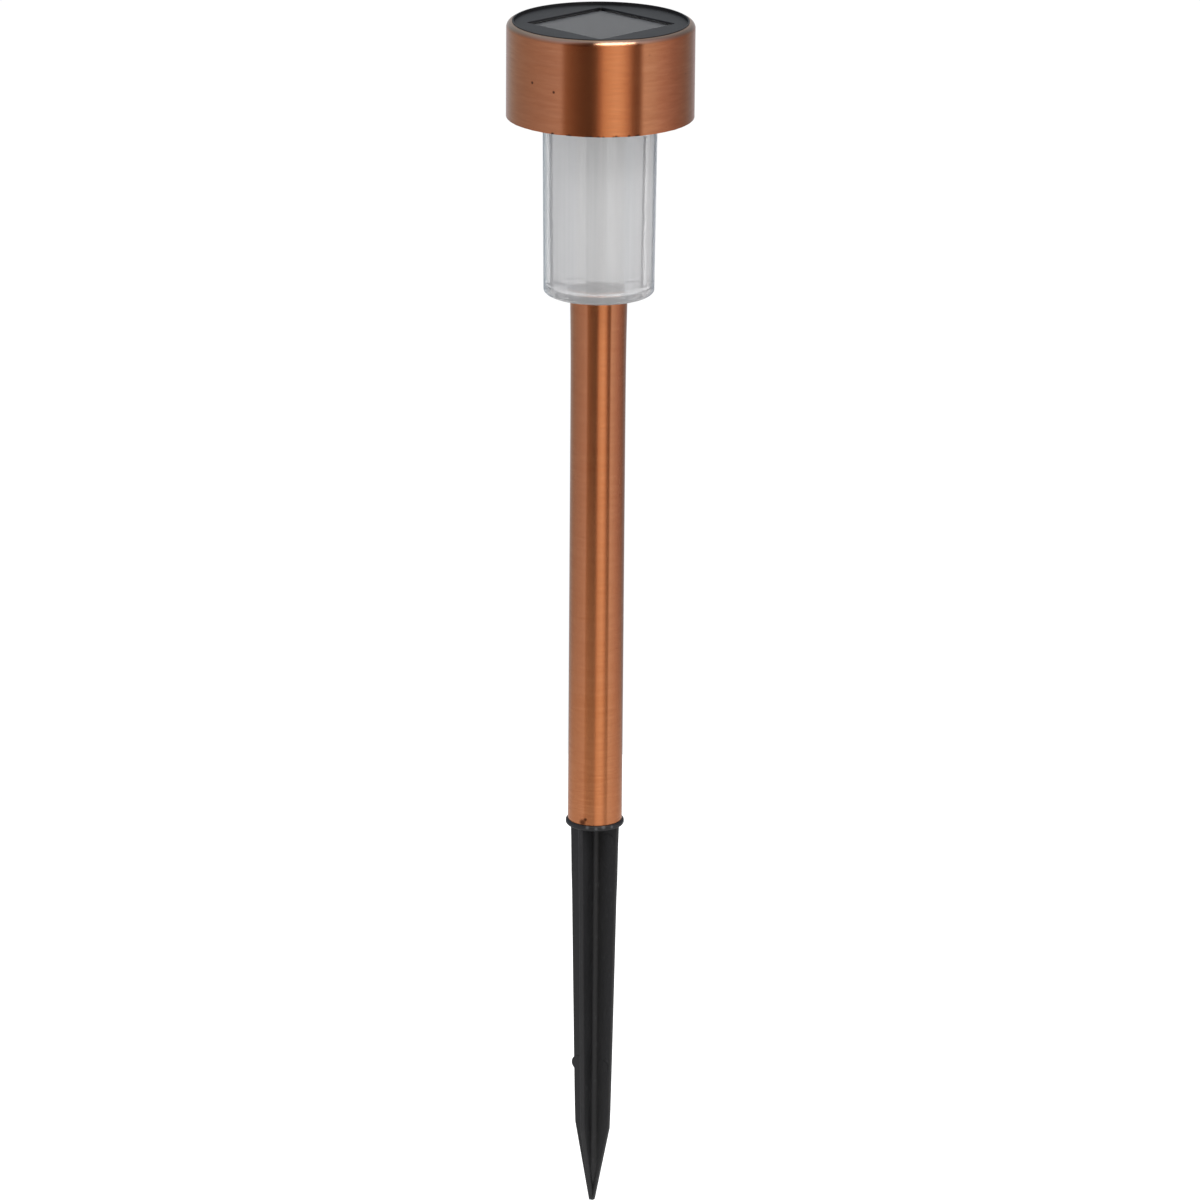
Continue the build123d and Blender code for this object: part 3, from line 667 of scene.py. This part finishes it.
cap_outside = np.concatenate([
    arc(CAP_RADIUS - EDGE, cap_low.z + EDGE, EDGE, -90, 0, 4),
    run((CAP_RADIUS, cap_low.z + 2 * EDGE), (CAP_RADIUS, turn_z - 0.0002), 40),
    arc(turn_r, turn_z, SHOULDER, 0, 84, 22),
    arc(turn_r + 0.00008, cap_high.z - 0.0001, 0.0001, 84, 180, 5),
])
cap_inside = np.concatenate([
    run((turn_r, cap_high.z - 0.0002), (turn_r, cap_high.z - WALL + 0.00005), 2),
    arc(turn_r, turn_z, SHOULDER - WALL, 88, 0, 12),
    run((CAP_RADIUS - WALL, turn_z - 0.0002), (CAP_RADIUS - WALL, cap_low.z + 2 * EDGE), 24),
    arc(CAP_RADIUS - WALL + EDGE, cap_low.z + EDGE, EDGE, 180, 270, 4),
])
cap_profile = np.concatenate([cap_outside, cap_inside])
cap = turned_piece("cap_drum", cap_profile, CAP_COLUMNS, trimmed, len(cap_outside))

# Small burrs along the lower edge, each a bearing in degrees and a size.
BURRS = 18
burrs = np.random.default_rng(5).uniform((-33.0, 0.0003), (30.0, 0.0007), (BURRS, 2))


def on_wall(degrees, z, size):
    """A blemish on the drum's wall, this far round to the right of the front."""
    return CAP_RADIUS * sin(radians(degrees)), -CAP_RADIUS * cos(radians(degrees)), z, size


# Two dark pits on the left and two faint ones on the right, then the burrs.
cap.data.materials.append(brushed_copper("cap_copper", 60.0, cap_high.z - WORN_DEPTH, [
    on_wall(-45.6, cap_high.z - 0.0138, 0.00055),
    on_wall(-29.2, cap_high.z - 0.01545, 0.00055),
    on_wall(30.9, cap_high.z - 0.0046, 0.00022),
    on_wall(63.6, cap_high.z - 0.0124, 0.00022),
    *(on_wall(float(degrees), cap_low.z + 0.0001, float(size)) for degrees, size in burrs),
]))
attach(cap, "head")
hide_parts("cap_shell")


# ---------------------------------------------------------------------------
# Head mouldings: the housing with its top plate, and the base plate that
# screws on below. Both are black plastic from spark-textured tools, so satin.
# ---------------------------------------------------------------------------
head_plastic = moulded_plastic(
    "head_plastic", (0.0085, 0.0088, 0.0092), (0.014, 0.0143, 0.0148), 0.36, 0.46, 0.00002,
    Specular_IOR_Level=0.5,
)
for node in ("head_housing", "base_plate"):
    paint(node, head_plastic)


# ---------------------------------------------------------------------------
# Solar panel: a black board, a dark grey silicon wafer on it, and clear resin
# poured over both to just below the plate. The resin's index is set lower than
# real epoxy's, so that it mirrors the room no more than the real panel does.
# ---------------------------------------------------------------------------
paint("cell_board", moulded_plastic(
    "panel_board", (0.010, 0.010, 0.011), (0.017, 0.017, 0.018), 0.30, 0.40, 0.00001
))
wafer, wafer_tree, wafer_shader = material("silicon_wafer", Specular_IOR_Level=0.08)
crystals = new_node(wafer_tree, "ShaderNodeTexVoronoi", Scale=420.0)
wafer_tree.links.new(object_place(wafer_tree), crystals.inputs["Vector"])
crystal = crystals.outputs["Color"]
crystal_share = spread(wafer_tree, crystal, 0.0, 1.0, 0.0, 1.0)
crystal_tone = blended(wafer_tree, crystal_share, (0.016, 0.0165, 0.020), (0.022, 0.023, 0.027))
wafer_tree.links.new(crystal_tone, wafer_shader.inputs["Base Color"])
wafer_tree.links.new(spread(wafer_tree, crystal, 0.30, 0.40, 0.0, 1.0), wafer_shader.inputs["Roughness"])
paint("solar_cell", wafer)
resin, resin_tree, resin_shader = material("clear_resin", Transmission_Weight=1.0, IOR=1.3)
settle = noise(resin_tree, object_place(resin_tree), scale=120.0, detail=2.0)
resin_tone = blended(resin_tree, spread(resin_tree, settle, 0.0, 1.0), (0.93, 0.94, 0.95), (0.97, 0.98, 0.98))
resin_tree.links.new(resin_tone, resin_shader.inputs["Base Color"])
resin_tree.links.new(spread(resin_tree, settle, 0.03, 0.07), resin_shader.inputs["Roughness"])
paint("cell_cover", resin)


# ---------------------------------------------------------------------------
# Metal small parts: zinc-plated screws, nickel strip contacts, tinned legs and
# pins. The tone and gloss of each vary over small patches.
# ---------------------------------------------------------------------------
def plated_metal(name, bright, dull, rough_low, rough_high):
    """Plated metal whose tone and gloss wander over small patches."""
    finish, tree, shader = material(name, Metallic=1.0)
    patches = noise(tree, object_place(tree), scale=900.0, detail=4.0)
    tree.links.new(blended(tree, spread(tree, patches, 0.0, 1.0), bright, dull), shader.inputs["Base Color"])
    tree.links.new(spread(tree, patches, rough_low, rough_high), shader.inputs["Roughness"])
    bumped(tree, shader, patches, 0.00001)
    return finish


zinc = plated_metal("zinc_plate", (0.62, 0.62, 0.60), (0.48, 0.48, 0.47), 0.25, 0.42)
nickel = plated_metal("nickel_strip", (0.70, 0.68, 0.64), (0.58, 0.56, 0.52), 0.20, 0.34)
tin = plated_metal("tinned_metal", (0.74, 0.74, 0.73), (0.62, 0.62, 0.61), 0.28, 0.40)
for node, finish in (
    ("base_screws", zinc), ("board_screws", zinc), ("positive_contact", nickel), ("negative_contact", nickel),
    ("led_legs", tin), ("switch_pins", tin),
):
    paint(node, finish)


# ---------------------------------------------------------------------------
# Electric parts inside the head: battery in a plain green sleeve with bare metal
# ends, lacquered circuit board, chip, coil, lamp, switch and insulated wires.
# ---------------------------------------------------------------------------
SLEEVE_HALF = 0.0139
SLEEVE_ASIDE = 0.00075
battery_low, battery_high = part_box("battery")
sleeve, sleeve_tree, sleeve_shader = material("battery_sleeve", Roughness=0.22)
along = new_node(sleeve_tree, "ShaderNodeSeparateXYZ")
sleeve_tree.links.new(object_place(sleeve_tree), along.inputs[0])
sleeve_middle = (battery_low.x + battery_high.x) / 2 - SLEEVE_ASIDE
from_middle = math_node(sleeve_tree, "SUBTRACT", along.outputs["X"], sleeve_middle)
from_middle = math_node(sleeve_tree, "ABSOLUTE", from_middle)
bare_end = math_node(sleeve_tree, "GREATER_THAN", from_middle, SLEEVE_HALF)
wrinkle = noise(sleeve_tree, object_place(sleeve_tree), scale=500.0, detail=2.0)
film = blended(sleeve_tree, spread(sleeve_tree, wrinkle, 0.0, 1.0), (0.03, 0.20, 0.11), (0.05, 0.27, 0.15))
sleeve_tone = blended(sleeve_tree, bare_end, film, (0.62, 0.61, 0.58))
sleeve_tree.links.new(sleeve_tone, sleeve_shader.inputs["Base Color"])
sleeve_tree.links.new(bare_end, sleeve_shader.inputs["Metallic"])
bumped(sleeve_tree, sleeve_shader, wrinkle, 0.00002)
paint("battery", sleeve)

board_finish, board_tree, board_shader = material("board_lacquer", Roughness=0.3)
tracks = new_node(board_tree, "ShaderNodeTexVoronoi", Scale=260.0, feature="DISTANCE_TO_EDGE")
board_tree.links.new(object_place(board_tree), tracks.inputs["Vector"])
track_edge = spread(board_tree, tracks.outputs["Distance"], 1.0, 0.0, 0.05, 0.09)
board_tone = blended(board_tree, track_edge, (0.010, 0.085, 0.030), (0.030, 0.17, 0.060))
board_tree.links.new(board_tone, board_shader.inputs["Base Color"])
bumped(board_tree, board_shader, track_edge, 0.00002)
paint("circuit_board", board_finish)
paint("driver_chip", moulded_plastic("chip_epoxy", (0.010, 0.010, 0.010), (0.018, 0.018, 0.018), 0.45, 0.6))
paint("inductor", moulded_plastic("coil_lacquer", (0.07, 0.20, 0.08), (0.10, 0.27, 0.11), 0.25, 0.4))
paint("switch_body", moulded_plastic("switch_case", (0.012, 0.012, 0.013), (0.020, 0.020, 0.021), 0.35, 0.5))
paint("switch_slider", moulded_plastic("switch_knob", (0.52, 0.52, 0.50), (0.60, 0.60, 0.58), 0.38, 0.5))
for colour_name, dark, light, nodes in (
    ("red", (0.34, 0.012, 0.012), (0.44, 0.02, 0.018), ("solar_wire_red", "battery_wire_red")),
    ("black", (0.010, 0.010, 0.010), (0.018, 0.018, 0.018), ("solar_wire_black", "battery_wire_black")),
    ("yellow", (0.52, 0.36, 0.03), (0.62, 0.45, 0.05), ("switch_wires",)),
):
    insulation = moulded_plastic(colour_name + "_insulation", dark, light, 0.35, 0.5)
    for node in nodes:
        paint(node, insulation)

lamp, lamp_tree, lamp_shader = material("lamp_epoxy", Transmission_Weight=1.0, IOR=1.52)
swirl = noise(lamp_tree, object_place(lamp_tree), scale=300.0, detail=2.0)
lamp_tone = blended(lamp_tree, spread(lamp_tree, swirl, 0.0, 1.0), (0.93, 0.93, 0.90), (0.97, 0.97, 0.95))
lamp_tree.links.new(lamp_tone, lamp_shader.inputs["Base Color"])
lamp_tree.links.new(spread(lamp_tree, swirl, 0.02, 0.06), lamp_shader.inputs["Roughness"])
paint("led", lamp)
